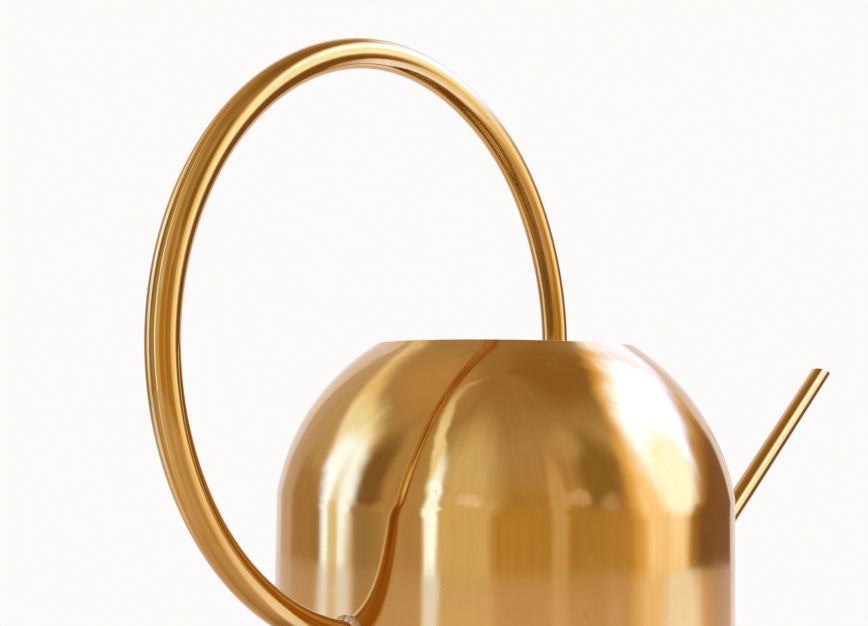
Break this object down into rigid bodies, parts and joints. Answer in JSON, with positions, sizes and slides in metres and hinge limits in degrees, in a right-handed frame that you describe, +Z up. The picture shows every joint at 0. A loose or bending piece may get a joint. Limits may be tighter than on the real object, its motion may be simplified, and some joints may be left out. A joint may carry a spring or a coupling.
{
  "type": "watering can",
  "caption": "Metal watering can with a round-shouldered body, open mouth, full-circle hoop handle and a straight, slender spout cut on the slant.",
  "frame": {"origin": "centre of the foot, on the surface that the can stands on", "axes": "+Z up along the body's axis, +X towards the spout, the hoop handle stands in the plane y = 0 towards -X"},
  "size_m": [0.4003, 0.14, 0.2135],
  "materials": {
    "body": "satin polished, faint brushing around the body",
    "base": "satin",
    "solder": "satin, slightly lumpy",
    "spout": "polished",
    "handle": "polished, faint drawing lines along the tube",
    "weld": "polished, lumpy bead"
  },
  "bodies": {
    "root": {"side_wall": "body", "shoulder": "body", "base_plate": "base", "base_seam": "solder", "spout_tube": "spout", "spout_weld": "weld", "handle_hoop": "handle", "handle_outer_weld": "weld", "handle_inner_weld": "weld"}
  },
  "joints": []
}
